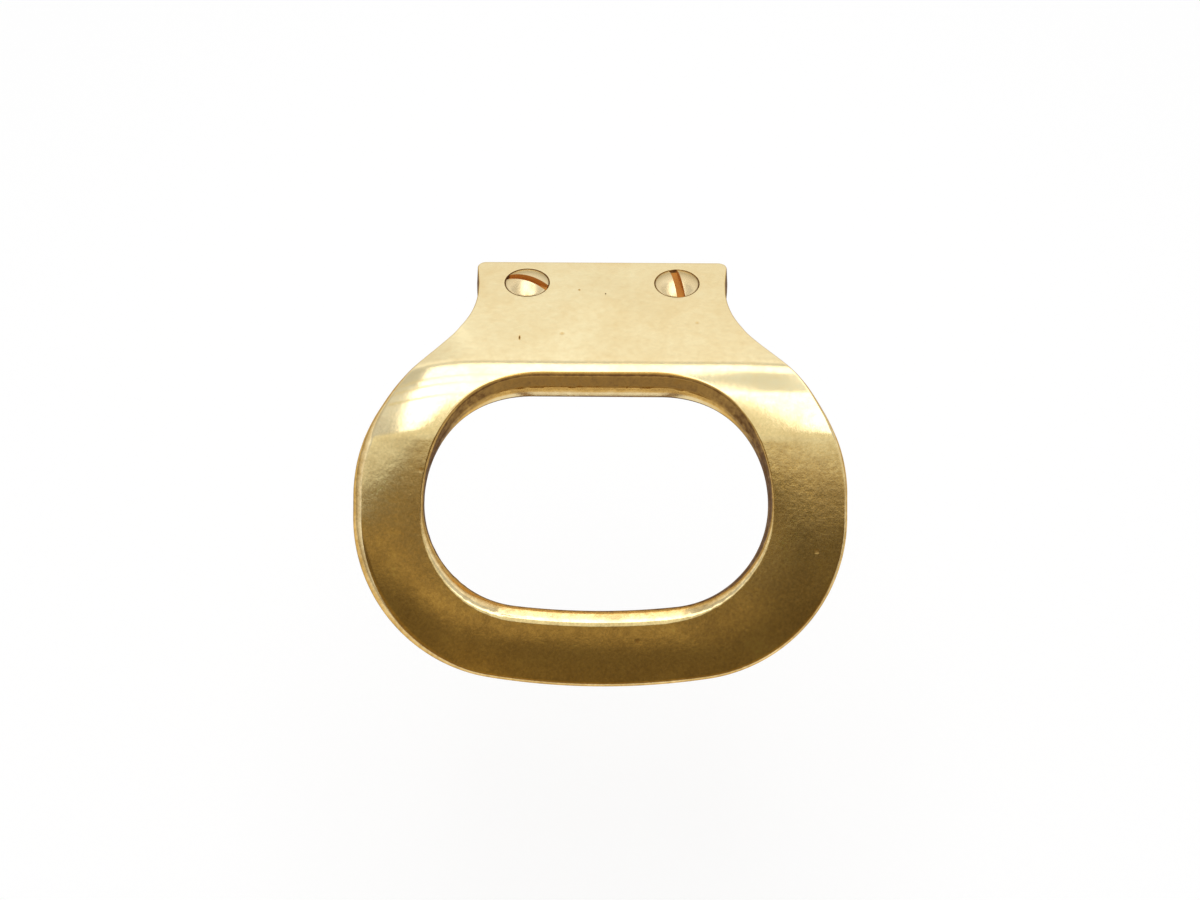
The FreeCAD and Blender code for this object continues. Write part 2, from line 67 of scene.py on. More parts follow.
front_radius = bend_radius + thickness
bend_length = front_radius * bend_angle
bend_start = casting_high.y - flange_depth
half_hole = half_ring - ring_band


def arc(centre, radius, first, last, count):
    """Points along an arc, as rows of (across, along)."""
    turn = np.linspace(first, last, count)
    return np.column_stack((centre[0] + radius * np.cos(turn), centre[1] + radius * np.sin(turn)))


def along_plate(tilt, offset, depth):
    """Where a cut made square to a plane tilted about the bend's axis meets the plate at a depth.

    The answer is the way along the front face from the start of the bend, positive on the flange."""
    radius = bend_radius + depth
    on_flange = (offset - radius * math.sin(tilt)) / math.cos(tilt)
    down_ring = (radius * math.sin(tilt - bend_angle) - offset) / math.cos(tilt - bend_angle)
    angle = tilt - np.arcsin(np.clip(offset / radius, -1, 1))
    on_bend = np.where(angle > bend_angle, -bend_length - down_ring, -front_radius * angle)
    return np.where(angle < 0, on_flange, on_bend)


def cut(points, tilt):
    """The front line and the back line of a wall that is cut square to a tilted plane."""
    lines = [(points[:, 0], along_plate(tilt, points[:, 1], depth)) for depth in (thickness, 0)]
    return np.column_stack(lines[0] + lines[1])


# Right half of the outline: the flange's back edge and side, the shoulder over the bend, the ring's rim.
middle_tilt = bend_angle / 2
side_flat = thickness * math.tan(middle_tilt) + ring_side_land
shoulder_foot = (side_flat - ring_drop) * math.cos(middle_tilt) - front_radius * math.sin(middle_tilt)
slope_way = np.array((math.cos(shoulder_slope), math.sin(shoulder_slope)))
slope_width = half_ring - half_flange - (flare_radius + shoulder_radius) * (1 - slope_way[0])
slope_length = slope_width / slope_way[1]
shoulder_centre = np.array((half_ring - shoulder_radius, shoulder_foot))
slope_low = shoulder_centre + slope_way * shoulder_radius
slope_high = slope_low + slope_way[::-1] * (-slope_length, slope_length)
flare_centre = slope_high + slope_way * flare_radius
shoulder = cut(np.vstack((
    arc(flare_centre, flare_radius, math.pi, math.pi + shoulder_slope, 60),
    np.linspace(slope_high, slope_low, 20)[1:],
    arc(shoulder_centre, shoulder_radius, shoulder_slope, 0, 60)[1:])), middle_tilt)

rim_foot = -ring_drop - side_flat
rim_depth = hole_drop + ring_band - side_flat
rim_corner = rim_depth - ring_bow
rim_bottom = (half_ring - rim_depth) ** 2 / (2 * ring_bow) + half_ring
rim_turn = math.atan2(rim_bottom - rim_depth, half_ring - rim_corner)
rim = cut(np.vstack((
    arc((half_ring - rim_corner, rim_foot), rim_corner, 0, -rim_turn, 90),
    arc((0, rim_foot - rim_depth + rim_bottom), rim_bottom, -rim_turn, -math.pi / 2, 40)[1:])), bend_angle)

corner_centre = (half_flange - flange_corner, flange_depth - flange_corner)
back_edge = np.vstack((
    np.linspace((0, flange_depth), (corner_centre[0], flange_depth), 40),
    arc(corner_centre, flange_corner, math.pi / 2, 0, 24)[1:]))
back_edge = np.hstack((back_edge, back_edge))
flange_side = np.linspace(back_edge[-1], shoulder[0], 40)
outline_parts = (
    np.vstack((back_edge, flange_side[1:])), shoulder, np.vstack((shoulder[-1:], rim)))

# Right half of the finger hole. Its upper wall stands square on the bent plate, its lower one on the ring.
hole_lean = math.tan(bend_angle - bridge_angle)
hole_corner = hole_drop - hole_bow
hole_bottom = (half_hole - hole_drop) ** 2 / (2 * hole_bow) + half_hole
hole_turn = math.atan2(hole_bottom - hole_drop, half_hole - hole_corner)


def upper_hole(turn, share):
    """The front and the back point of the hole's upper corner at a turn, or of a share of its upper side."""
    places = []
    for depth in (thickness, 0):
        radius = bend_radius + depth
        lean = hole_lean * math.sin(turn)
        shift = ring_drop * (math.sin(turn) - 1)
        height = (math.sqrt(radius ** 2 * (1 + lean ** 2) - shift ** 2) - lean * shift) / (1 + lean ** 2)
        if lean * height + shift < 0:
            height = radius
        rise = hole_lean * height + ring_drop
        places.append((half_hole - rise) * share + rise * math.cos(turn))
        places.append(float(along_plate(bend_angle, np.float64(lean * height + shift), depth)))
    return places


hole_parts = (
    np.array([upper_hole(math.pi / 2, share) for share in np.linspace(0, 1, 40)]),
    np.array([upper_hole(turn, 1) for turn in np.linspace(math.pi / 2, 0, 90)]),
    cut(np.vstack((
        arc((half_hole - hole_corner, -ring_drop), hole_corner, 0, -hole_turn, 90),
        arc((0, -ring_drop - hole_drop + hole_bottom), hole_bottom, -hole_turn, -math.pi / 2, 40)[1:])),
        bend_angle))

# Outline and hole run round the plate in the same stations, so each station is one section of the metal.
station_counts = (130, 120, 120)


def whole_loop(parts):
    """Spread each part's points evenly, and add the left half."""
    right = []
    for part, count in zip(parts, station_counts):
        steps = np.linalg.norm(np.diff(part[:, :2], axis=0), axis=1)
        way = np.concatenate(([0], np.cumsum(steps)))
        even = np.linspace(0, way[-1], count + 1)[:-1]
        right.append(np.column_stack([np.interp(even, way, column) for column in part.T]))
    right = np.vstack(right + [parts[-1][-1:]])
    return np.vstack((right, right[-2:0:-1] * (-1, 1, -1, 1)))


hole_off_middle = 0.0006
outline = whole_loop(outline_parts)
# The flange was filed a little hollow along its sides, more on its front than on its back.
outline[:, 0] *= 1 - np.interp(
    outline[:, 1], (0.008, 0.0115, 0.0143, 0.0165, 0.019, 0.021, 0.0244),
    (0, 0.00025, 0.00042, 0.00055, 0.00055, 0.0004, 0.0001)) / half_flange
outline[:, 2] *= 1 - np.interp(
    outline[:, 3], (0.008, 0.0115, 0.015, 0.0185, 0.0208, 0.0229),
    (0, 0.00025, 0.0004, 0.0003, 0.0001, 0)) / half_flange
# The shoulders were left full where they cross the bend, the right one more than the left.
fullness = 0.00113
fullest_at = -0.003
full_reach = 0.010
left_share = 0.72
for column in (0, 2):
    from_fullest = np.clip(np.abs(outline[:, column + 1] - fullest_at) / full_reach, 0, 1)
    swell = fullness * (1 + np.cos(math.pi * from_fullest)) / 2
    outline[:, column] += swell * np.where(outline[:, column] > 0, 1, -left_share)
hole = whole_loop(hole_parts)
hole[:, 2] -= hole_off_middle
hole[:, 0] -= np.interp(hole[:, 0], (-0.010, 0.020), (hole_off_middle, 0))
stations = len(outline)


def into_metal(line, sign):
    """The way into the metal, square to a closed line on the plate."""
    way = np.roll(line, -1, axis=0) - np.roll(line, 1, axis=0)
    way /= np.linalg.norm(way, axis=1)[:, None]
    return sign * np.column_stack((way[:, 1], -way[:, 0]))


def rounded(line, inward, radius, front, steps, bevel=0.0):
    """Rows that lead from a face of the plate round an edge onto its wall. A bevel is flat in its middle."""
    rows = []
    flat_shares = (0, 0.125, 0.25, 0.375, 0.5, 0.9, 1)
    for share in np.linspace(0, 1, steps):
        turn = share * math.pi / 2
        flat_inset = np.interp(share, flat_shares, (1, 0.898, 0.8, 0.709, 0.63, 0.09, 0))
        flat_drop = np.interp(share, flat_shares, (0, 0.01, 0.04, 0.088, 0.153, 0.693, 0.85))
        drop = radius * ((1 - math.cos(turn)) * (1 - bevel) + flat_drop * bevel)
        depth = thickness - drop if front else drop
        along_wall = (depth / thickness)[:, None]
        inset = (radius * ((1 - math.sin(turn)) * (1 - bevel) + flat_inset * bevel))[:, None]
        place = line[:, :2] * along_wall + line[:, 2:] * (1 - along_wall) + inward * inset
        rows.append(np.column_stack((place, depth)))
    return rows


def between(first, last, steps):
    """Rows that lead from one row to another, closer together near both."""
    rows = []
    for step in np.linspace(0, 1, steps + 2)[1:-1]:
        share = 0.5 * step + 0.25 * (1 - math.cos(math.pi * step))
        rows.append(first * (1 - share) + last * share)
    return rows


# The buffed edges differ: broad along the bottom of the hole, narrow along its sides and top, and broader on
# the ring's left rim than on its right.
hole_front_inward = into_metal(hole[:, :2], -1)
top_share = np.clip(hole_front_inward[:, 1], 0, 1) ** 2
top_filed_back = 0.00246
hole[:, :2] += hole_front_inward * (top_filed_back * top_share)[:, None]
rim_front_inward = into_metal(outline[:, :2], 1)
hole_edge = np.interp(hole_front_inward[:, 1], (-1, -0.6, 0, 1), (0.0023, 0.0014, 0.0005, 0.00035))
hole_edge *= np.interp(hole[:, 0], (0.010, 0.022), (1, 0.55))
on_ring = np.clip(-outline[:, 1] / bend_length, 0, 1)
ring_edge = np.interp(outline[:, 0], (-half_ring, -0.02, half_ring), (0.0018, 0.0006, 0.0006))
flange_edge = 0.00015
rim_edge = flange_edge * (1 - on_ring) + ring_edge * on_ring
back_edge_round = 0.0003
back_round = np.full(stations, back_edge_round)
low_share = np.clip(-hole_front_inward[:, 1], 0, 1)
hole_edge_steps = 17
rim_edge_steps = 8
back_edge_steps = 4
front_steps = 46
rim_wall_steps = 6
back_steps = 12
hole_wall_steps = 22
hole_front_rows = rounded(hole, hole_front_inward, hole_edge, True, hole_edge_steps, low_share ** 2)
file_depth = 0.00004
file_size = 0.0009
file_middle = 0.016
for step, row in enumerate(hole_front_rows):
    to_corner = np.clip(np.abs(row[:, 0]) / file_middle, 0, 1) ** 4
    filed = file_depth * math.sin(math.pi * step / (hole_edge_steps - 1)) * low_share * to_corner
    row[:, 2] += filed * [noise.noise(Vector((place[0], place[1], 0)) / file_size) for place in row]
rim_front_rows = rounded(outline, rim_front_inward, rim_edge, True, rim_edge_steps)
rim_back_rows = rounded(outline, into_metal(outline[:, 2:], 1), back_round, False, back_edge_steps)
hole_back_rows = rounded(hole, into_metal(hole[:, 2:], -1), back_round, False, back_edge_steps)
front_rows = between(hole_front_rows[0], rim_front_rows[0], front_steps)
rim_wall_rows = between(rim_front_rows[-1], rim_back_rows[-1], rim_wall_steps)
back_rows = between(rim_back_rows[0], hole_back_rows[0], back_steps)
hole_wall_rows = between(hole_back_rows[-1], hole_front_rows[-1], hole_wall_steps)

# The mould's joint runs round the hole's wall as a lumpy ridge. Along the top the wall leans back from it to
# the front and falls away behind it.
joint_level = 0.00193
joint_lean = 0.00055
joint_width = 0.00015
joint_height = 0.00013
lump_size = 0.0013
for row in hole_wall_rows:
    lump = [0.7 + 0.8 * noise.noise(Vector((place[0], place[1], 0)) / lump_size) for place in row]
    swell = joint_height * np.exp(-((row[:, 2] - joint_level) / joint_width) ** 2) * lump
    swell += joint_lean * top_share * np.interp(row[:, 2], (0, joint_level, thickness), (0, 1, 0))
    row[:, :2] -= hole_front_inward * swell[:, None]

# What the polishing wheel left brown: the walls and the far side of each rounded edge. Along the top of the
# hole the brown in front of the joint is partly skin and partly painted shade, and the lighter strip behind
# the joint is a painted highlight.
wall_skin = 0.95
rim_wall_skin = 1.0
back_skin = 0.38
hole_back_skin = 0.9
# Along the top of the hole this share is painted: darker in front of the joint as painted shade, lighter
# behind it as a painted highlight.
on_top = np.clip((top_share - 0.15) / 0.75, 0, 1)
hole_wall_skin_and_shade = [
    on_top * np.interp(
        row[:, 2] - joint_level, (-0.0010, -0.0008, -0.0005, 0.0001, 0.0002, 0.0016),
        (0.08, 0.35, 0.48, 0.5, 0.75, 0.65))
    + (1 - on_top) * wall_skin for row in hole_wall_rows]
hole_front_skin = [
    low_share * np.interp(turn, (0.4, 0.55, 0.8, 1), (0, 0.12, 0.3, 0.95))
    + (1 - low_share) * np.interp(turn, (0.05, 0.35, 1), (0, 0.35, 0.95))
    for turn in np.linspace(1, 0, hole_edge_steps)]
rim_front_skin = [
    on_ring * np.interp(turn, (0.05, 0.3, 0.7, 1), (0, 0.25, 0.45, 1)) + (1 - on_ring) * turn
    for turn in np.linspace(0, 1, rim_edge_steps)]
blank = np.array(
    hole_front_rows[::-1] + front_rows + rim_front_rows + rim_wall_rows + rim_back_rows[::-1]
    + back_rows + hole_back_rows + hole_wall_rows)
skin_and_shade = np.vstack(
    hole_front_skin + [np.zeros((len(front_rows), stations))] + rim_front_skin
    + [np.full((len(rim_wall_rows), stations), rim_wall_skin),
       np.full((len(rim_back_rows + back_rows), stations), back_skin),
       np.full((len(hole_back_rows), stations), hole_back_skin)] + hole_wall_skin_and_shade)
handled = np.clip(-blank[:, :, 1] / bend_length - 0.5, 0, 1)

# Polishing has rolled the front off towards the outline, more on the left, crowned the ring's limbs a little
# and left the whole face slightly wavy.
roll_start = 0.008
roll_growth = 0.012
roll_width = 0.0090
roll_drop = 0.00072
wave_length = 0.010
wave_height = 0.000022
flat_seat = 0.0045
screws_low, screws_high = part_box("fixing_screws")
head_radius = 0.0035
half_spacing = screws_high.x - head_radius
past_flange = np.clip((roll_start - outline[:, 1]) / roll_growth, 0, 1)
down_limb = np.clip((-outline[:, 1] / bend_length - 0.5) / 2.5, 0, 1)
down_limb = 1 - 0.75 * down_limb ** 2 * (3 - 2 * down_limb)
crown_height = 0.00005
crown = crown_height * np.clip(-outline[:, 1] / bend_length - 1, 0, 1)
roll_side = np.interp(outline[:, 0], (-0.025, 0.005, 0.03), (1.0, 0.25, 0.2)) * past_flange * down_limb
for row in blank:
    share = row[:, 2] / thickness
    from_rim = np.linalg.norm(row[:, :2] - outline[:, :2], axis=1)
    from_hole = np.linalg.norm(row[:, :2] - hole[:, :2], axis=1)
    roll = roll_drop * roll_side * np.clip(1 - from_rim / roll_width, 0, 1) ** 2.2
    roll += crown * ((from_hole - from_rim) / (from_hole + from_rim)) ** 2
    wave = np.array([noise.noise(Vector((place[0], place[1], 0)) / wave_length) for place in row])
    from_screw = np.hypot(np.abs(row[:, 0]) - half_spacing, row[:, 1] + bend_start)
    wave *= np.clip(from_screw / flat_seat - 1, 0, 1)
    row[:, 2] += share * (wave_height * wave - roll)


def bent(place):
    """Carry points of the flat blank (across, along, depth) into the bent plate."""
    across, along, depth = np.moveaxis(place, -1, 0)
    radius = bend_radius + depth
    angle = np.clip(-along / front_radius, 0, bend_angle)
    flange = np.maximum(along, 0)
    ring = np.maximum(-along - bend_length, 0)
    return np.stack((
        across,
        bend_start + flange - radius * np.sin(angle) - ring * np.cos(angle),
        radius * np.cos(angle) - bend_radius - ring * np.sin(angle)), axis=-1)


grid_index = np.arange(blank.shape[0] * stations).reshape(-1, stations)
next_row = np.roll(grid_index, -1, axis=0)
quads = np.stack(
    (next_row, np.roll(next_row, -1, axis=1), np.roll(grid_index, -1, axis=1), grid_index), axis=-1)
casting_mesh = bpy.data.meshes.new("ring_pull")
casting_mesh.from_pydata(bent(blank).reshape(-1, 3).tolist(), [], quads.reshape(-1, 4).tolist())
# The skin share holds the unpolished brown and, on the top of the hole's wall, painted shade and a painted
# highlight.
for share_name, shares in (("skin_and_shade", skin_and_shade), ("handled", handled)):
    share_layer = casting_mesh.attributes.new(share_name, "FLOAT", "POINT")
    share_layer.data.foreach_set("value", shares.astype(np.float32).ravel())
casting_mesh.shade_smooth()
casting = bpy.data.objects.new("ring_pull", casting_mesh)
bpy.context.scene.collection.objects.link(casting)


def turned(profile, around=64):
    """A closed shape on an upright axis, from rows of (radius, height). A radius may vary around its row."""
    shape = bmesh.new()
    rings = []
    for radius, height in profile:
        reach = np.broadcast_to(radius, around)
        count = around if reach.max() > 0 else 1
        turns = np.arange(count) * 2 * math.pi / around
        rings.append([
            shape.verts.new((size * math.cos(turn), size * math.sin(turn), height))
            for size, turn in zip(reach, turns)])
    for upper, lower in zip(rings, rings[1:]):
        for step in range(around):
            after = step + 1
            corners = (upper[step % len(upper)], lower[step % len(lower)],
                       lower[after % len(lower)], upper[after % len(upper)])
            shape.faces.new(dict.fromkeys(corners))
    bmesh.ops.recalc_face_normals(shape, faces=shape.faces)
    return shape


# The screw holes are countersunk and the wheel has softened their lips. Two casting pits lie between them,
# and a short scratch in front of the left one.
hole_radius = 0.0020
seat_radius = 0.00352
lip_radius = 0.00014
lip_reach = seat_radius + lip_radius
seat_drop = 0.00028
lip_clear = 0.0001
clear = 0.0006
countersink_profile = [(0, thickness + clear), (lip_reach + lip_clear, thickness + clear)]
for lip_turn in np.linspace(-0.1, math.pi / 2, 9):
    lip_drop = lip_radius * (1 - math.cos(lip_turn)) * math.copysign(1, lip_turn)
    countersink_profile.append((lip_reach - lip_radius * math.sin(lip_turn), thickness - lip_drop))
countersink_profile += [
    (seat_radius, thickness - seat_drop), (hole_radius, thickness - seat_drop - seat_radius + hole_radius),
    (hole_radius, -clear), (0, -clear)]
pit_profile = [
    (0, 0.0003), (0.0003, 0.0003), (0.0003, 0.0), (0.00022, -0.00006), (0.0001, -0.0001), (0, -0.00011)]
scratch_profile = [
    (0, 0.0003), (0.0006, 0.0003), (0.0006, 0.000042), (0.00015, -0.000006), (0, -0.00001)]

cutters = bmesh.new()
for profile, place, stretch in (
        (countersink_profile, (-half_spacing, 0, 0), (1, 1, 1)),
        (countersink_profile, (half_spacing, 0, 0), (1, 1, 1)),
        (pit_profile, (-0.0036, -0.0018, thickness), (0.55, 0.7, 1)),
        (pit_profile, (0.0006, -0.0028, thickness), (0.4, 0.5, 1)),
        (scratch_profile, (-0.0128, -0.0139, thickness), (0.7, 2.6, 1))):
    shape = turned(profile)
    bmesh.ops.scale(shape, vec=stretch, verts=shape.verts)
    bmesh.ops.translate(shape, vec=place, verts=shape.verts)
    one_cutter = bpy.data.meshes.new("cutter")
    shape.to_mesh(one_cutter)
    shape.free()
    cutters.from_mesh(one_cutter)
    bpy.data.meshes.remove(one_cutter)
brown_skin_and_shade = cutters.verts.layers.float.new("skin_and_shade")
for corner in cutters.verts:
    if math.hypot(abs(corner.co.x) - half_spacing, corner.co.y) < 2 * seat_radius:
        corner[brown_skin_and_shade] = np.interp(thickness - corner.co.z, (lip_radius, 2 * lip_radius), (0, 1))
    elif corner.co.z < thickness:
        corner[brown_skin_and_shade] = 1.0 if abs(corner.co.x) < half_spacing / 2 else 0.0
cutter_mesh = bpy.data.meshes.new("screw_holes_and_pits")
cutters.to_mesh(cutter_mesh)
cutters.free()
cutter = bpy.data.objects.new("screw_holes_and_pits", cutter_mesh)
bpy.context.scene.collection.objects.link(cutter)
drilling = casting.modifiers.new("drilling", "BOOLEAN")
drilling.operation = "DIFFERENCE"
drilling.solver = "EXACT"
drilling.object = cutter


crisp_angle = math.radians(38)


def made_plain(piece, name):
    """Take a piece with its modifiers as a plain mesh, with edges sharper than a round kept crisp."""
    finished = bpy.data.meshes.new_from_object(
        piece.evaluated_get(bpy.context.evaluated_depsgraph_get()),
        preserve_all_data_layers=True, depsgraph=bpy.context.evaluated_depsgraph_get())
    finished.name = name
    piece.modifiers.clear()
    raw = piece.data
    piece.data = finished
    bpy.data.meshes.remove(raw)
    finished.set_sharp_from_angle(angle=crisp_angle)


made_plain(casting, "ring_pull")
bpy.data.objects.remove(cutter)
bpy.data.meshes.remove(cutter_mesh)


def add_node(tree, kind, sockets, **settings):
    """Add a node, set its inputs to values or link them to other nodes' outputs."""
    node = tree.nodes.new(kind)
    for name, setting in settings.items():
        setattr(node, name, setting)
    for name, source in sockets.items():
        if isinstance(source, bpy.types.NodeSocket):
            tree.links.new(source, node.inputs[name])
        else:
            node.inputs[name].default_value = source
    return node


# Hand-polished brass: thin clouds of tarnish, fine lines left by the wheel, a mottle of small scratches, and
# scattered specks. Where the wheel did not reach, the brown skin of the casting stays; the same brown also
# carries painted shade.
worked_brass = bpy.data.node_groups.new("worked_brass", "ShaderNodeTree")
for socket_name, socket_kind in (
        ("Polished", "NodeSocketColor"), ("Thin Tarnish", "NodeSocketColor"),
        ("Tarnished", "NodeSocketColor"), ("Tarnish", "NodeSocketFloat"), ("Handled", "NodeSocketFloat"),
        ("Wheel Lines", "NodeSocketFloat"), ("Mottle", "NodeSocketFloat"), ("Dullness", "NodeSocketFloat")):
    worked_brass.interface.new_socket(socket_name, in_out="INPUT", socket_type=socket_kind)
for socket_name, socket_kind in (
        ("Colour", "NodeSocketColor"), ("Metal", "NodeSocketFloat"), ("Roughness", "NodeSocketFloat"),
        ("Height", "NodeSocketFloat")):
    worked_brass.interface.new_socket(socket_name, in_out="OUTPUT", socket_type=socket_kind)
given = worked_brass.nodes.new("NodeGroupInput").outputs
place = worked_brass.nodes.new("ShaderNodeTexCoord").outputs["Object"]
clouds = add_node(worked_brass, "ShaderNodeTexNoise",
                  {"Vector": place, "Scale": 130, "Detail": 3, "Roughness": 0.6}).outputs["Fac"]
mottle = add_node(worked_brass, "ShaderNodeTexNoise",
                  {"Vector": place, "Scale": 900, "Detail": 5, "Roughness": 0.7}).outputs["Fac"]
along_wheel = add_node(worked_brass, "ShaderNodeMapping", {"Vector": place, "Scale": (60, 1300, 1300)})
wheel_lines = add_node(worked_brass, "ShaderNodeTexNoise",
                       {"Vector": along_wheel.outputs[0], "Scale": 1, "Detail": 3}).outputs["Fac"]
speck_cells = add_node(worked_brass, "ShaderNodeTexVoronoi", {"Vector": place, "Scale": 330})
speck_pick = add_node(worked_brass, "ShaderNodeSeparateColor", {"Color": speck_cells.outputs["Color"]})
speck_rare = add_node(worked_brass, "ShaderNodeMath",
                      {0: speck_pick.outputs["Red"], 1: 0.94}, operation="GREATER_THAN")
speck_round = add_node(worked_brass, "ShaderNodeMapRange", {
    "Value": speck_cells.outputs["Distance"], "From Min": 0.05, "From Max": 0.16, "To Min": 1, "To Max": 0})
specks = add_node(worked_brass, "ShaderNodeMath",
                  {0: speck_rare.outputs[0], 1: speck_round.outputs[0]}, operation="MULTIPLY").outputs[0]
cloud_mottle = add_node(worked_brass, "ShaderNodeMath", {
    0: mottle, 1: 0.7, 2: clouds}, operation="MULTIPLY_ADD").outputs[0]
cloud_share = add_node(worked_brass, "ShaderNodeMapRange", {
    "Value": cloud_mottle, "From Min": 0.62, "From Max": 1.1, "To Min": 0, "To Max": 0.16}).outputs[0]
mottle_share = add_node(worked_brass, "ShaderNodeMapRange", {
    "Value": mottle, "From Min": 0.3, "From Max": 0.7, "To Min": 0.86, "To Max": 1.1}).outputs[0]
skin = add_node(worked_brass, "ShaderNodeMath",
                {0: given["Tarnish"], 1: mottle_share, 2: cloud_share}, operation="MULTIPLY_ADD").outputs[0]
tarnish = add_node(worked_brass, "ShaderNodeMath",
                   {0: specks, 1: 0.25, 2: skin}, operation="MULTIPLY_ADD", use_clamp=True).outputs[0]
thin_share = add_node(worked_brass, "ShaderNodeMapRange", {"Value": tarnish, "From Max": 0.5}).outputs[0]
thick_share = add_node(worked_brass, "ShaderNodeMapRange", {"Value": tarnish, "From Min": 0.5}).outputs[0]
thin_colour = add_node(worked_brass, "ShaderNodeMix", {
    0: thin_share, 6: given["Polished"], 7: given["Thin Tarnish"]}, data_type="RGBA").outputs[2]
thick_colour = add_node(worked_brass, "ShaderNodeMix", {
    0: thick_share, 6: thin_colour, 7: given["Tarnished"]}, data_type="RGBA").outputs[2]
bare_metal = add_node(worked_brass, "ShaderNodeMapRange", {
    "Value": thick_share, "To Min": 1.0, "To Max": 0.15}).outputs[0]
finger_grain = add_node(worked_brass, "ShaderNodeTexNoise",
                        {"Vector": place, "Scale": 2300, "Detail": 3, "Roughness": 0.7}).outputs["Fac"]
finger_film = add_node(worked_brass, "ShaderNodeMath", {
    0: finger_grain, 1: 1.2, 2: cloud_mottle}, operation="MULTIPLY_ADD").outputs[0]
finger_shade = add_node(worked_brass, "ShaderNodeMapRange", {
    "Value": finger_film, "From Min": 1.0, "From Max": 1.9, "To Min": 1.3, "To Max": 0.7}).outputs[0]
finger_marks = add_node(worked_brass, "ShaderNodeMix", {
    0: given["Handled"], 2: 1.0, 3: finger_shade}, data_type="FLOAT").outputs[0]
colour = add_node(worked_brass, "ShaderNodeVectorMath", {
    0: thick_colour, "Scale": finger_marks}, operation="SCALE").outputs[0]
sheen_loss = add_node(worked_brass, "ShaderNodeMapRange", {
    "Value": tarnish, "To Min": given["Dullness"], "To Max": 0.3}).outputs[0]
skin_dullness = add_node(worked_brass, "ShaderNodeMath",
                         {0: thick_share, 1: 0.4, 2: sheen_loss}, operation="MULTIPLY_ADD").outputs[0]
roughness = add_node(worked_brass, "ShaderNodeMath",
                     {0: mottle, 1: 0.05, 2: skin_dullness}, operation="MULTIPLY_ADD").outputs[0]
line_height = add_node(worked_brass, "ShaderNodeMath",
                       {0: wheel_lines, 1: given["Wheel Lines"]}, operation="MULTIPLY").outputs[0]
speck_mottle = add_node(worked_brass, "ShaderNodeMath",
                        {0: mottle, 1: specks}, operation="SUBTRACT").outputs[0]
height = add_node(worked_brass, "ShaderNodeMath", {
    0: speck_mottle, 1: given["Mottle"], 2: line_height}, operation="MULTIPLY_ADD").outputs[0]
add_node(worked_brass, "NodeGroupOutput", {
    "Colour": colour, "Metal": bare_metal, "Roughness": roughness, "Height": height})


def brass_material(name, polished, thin_tarnish, tarnished, wheel_lines, mottle, dullness):
    """A brass whose tarnish follows the mesh's skin attribute, where some painted shade also lies, and its
    finger marks the handled one.
    """
    material = bpy.data.materials.new(name)
    material.use_nodes = True
    tree = material.node_tree
    brown_skin_and_shade = add_node(tree, "ShaderNodeAttribute", {}, attribute_name="skin_and_shade")
    touched = add_node(tree, "ShaderNodeAttribute", {}, attribute_name="handled")
    surface = add_node(tree, "ShaderNodeGroup", {}, node_tree=worked_brass)
    surface.inputs["Polished"].default_value = (*polished, 1)
    surface.inputs["Thin Tarnish"].default_value = (*thin_tarnish, 1)
    surface.inputs["Tarnished"].default_value = (*tarnished, 1)
    surface.inputs["Wheel Lines"].default_value = wheel_lines
    surface.inputs["Mottle"].default_value = mottle
    surface.inputs["Dullness"].default_value = dullness
    tree.links.new(brown_skin_and_shade.outputs["Fac"], surface.inputs["Tarnish"])
    tree.links.new(touched.outputs["Fac"], surface.inputs["Handled"])
    relief = add_node(tree, "ShaderNodeBump", {
        "Strength": 1, "Distance": 0.00001, "Height": surface.outputs["Height"]})
    shader = tree.nodes["Principled BSDF"]
    shader.inputs["Specular Tint"].default_value = (1, 0.86, 0.58, 1)
    tree.links.new(surface.outputs["Metal"], shader.inputs["Metallic"])
    tree.links.new(surface.outputs["Colour"], shader.inputs["Base Color"])
    tree.links.new(surface.outputs["Roughness"], shader.inputs["Roughness"])
    tree.links.new(relief.outputs["Normal"], shader.inputs["Normal"])
    return material


# Its tarnished brown is the casting's skin, and on the top wall of the hole it is also painted shade.
cast_brass = brass_material(
    "hand_polished_brass", polished=(0.875, 0.75, 0.45), thin_tarnish=(0.66, 0.40, 0.11),
    tarnished=(0.12, 0.046, 0.007), wheel_lines=0.15, mottle=0.85, dullness=0.065)
casting.data.materials.clear()
casting.data.materials.append(cast_brass)
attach(casting, "root")
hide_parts("pull_casting")

# Two slotted brass wood screws with raised countersunk heads hold the flange. Each is turned from rod: a
# domed head, a plain shank, a rolled thread and a gimlet point. Their slots stop at different turns.
dome_height = 0.0010
head_land = 0.00025
shank_radius = 0.00175
root_radius = 0.00125
tip_radius = 0.0003
plain_length = 0.0064
point_length = 0.0050
thread_pitch = 0.0015
rows_per_pitch = 14
flank_share = 0.26
around_screw = 64
slot_width = 0.0013
slot_depth = 0.0014
dome_radius = (head_radius ** 2 + dome_height ** 2) / (2 * dome_height)
head_top = screws_high.z + dome_radius - math.sqrt(dome_radius ** 2 - (slot_width / 2) ** 2)
head_level = head_top - dome_height
rim_round = 0.00008
rim_tarnish_and_shade = 0.1
screw_profile = [(0, head_top)]
for reach in np.linspace(0, head_radius - rim_round, 19)[1:]:
    screw_profile.append((reach, head_top - dome_radius + math.sqrt(dome_radius ** 2 - reach ** 2)))
under_head = head_level - head_land - head_radius + shank_radius
plain_end = head_level - plain_length
screw_profile += [
    (head_radius - 0.3 * rim_round, head_level - 0.4 * rim_round), (head_radius, head_level - rim_round),
    (head_radius, head_level - head_land), (shank_radius, under_head), (shank_radius, plain_end)]
turns = np.arange(around_screw) / around_screw
thread_length = plain_end - screws_low.z
